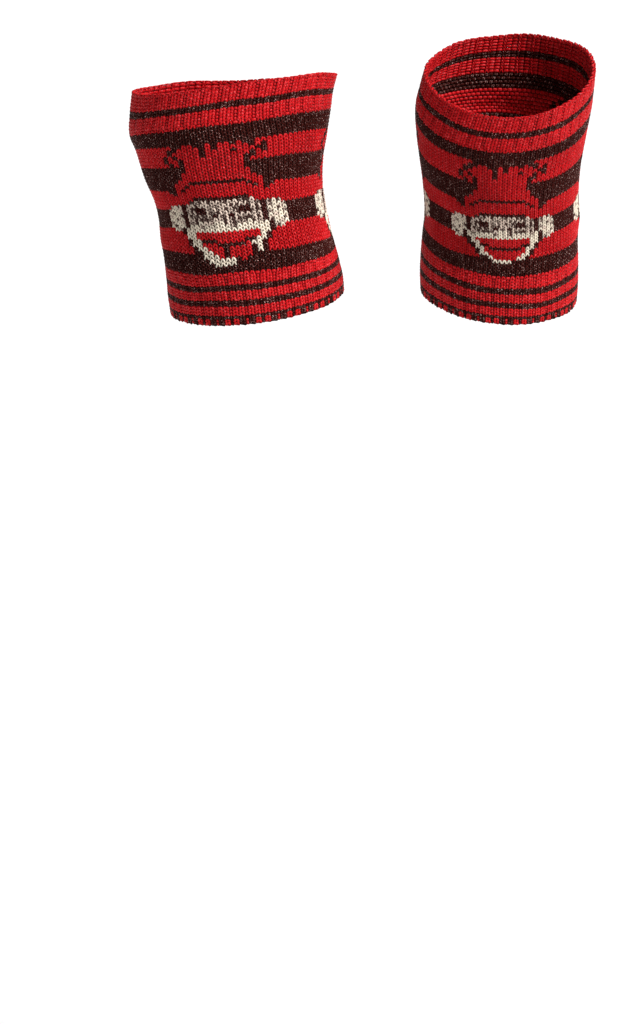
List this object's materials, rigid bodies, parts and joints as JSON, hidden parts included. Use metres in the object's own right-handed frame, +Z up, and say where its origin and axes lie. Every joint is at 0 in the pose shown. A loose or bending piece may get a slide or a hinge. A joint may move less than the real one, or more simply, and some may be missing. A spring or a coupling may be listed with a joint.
{
  "type": "pair of knitted boot cuffs",
  "caption": "Pair of open tubular knit cuffs worn above tall boots, with ribbed ends, stripes and a figured band of animal faces.",
  "frame": {"origin": "midway between the wearer's two legs, at the height where the upper rib bands grip them", "axes": "+Z up along the legs, -Y the wearer's front, +X towards the wearer's left leg"},
  "size_m": [0.3199, 0.1471, 0.1899],
  "materials": {
    "rib_knit": "matte",
    "patterned_knit": "matte"
  },
  "bodies": {
    "root": {"right_upper_rib": "rib_knit", "right_leg_panel": "patterned_knit", "right_lower_rib": "rib_knit", "left_upper_rib": "rib_knit", "left_leg_panel": "patterned_knit", "left_lower_rib": "rib_knit"}
  },
  "joints": []
}
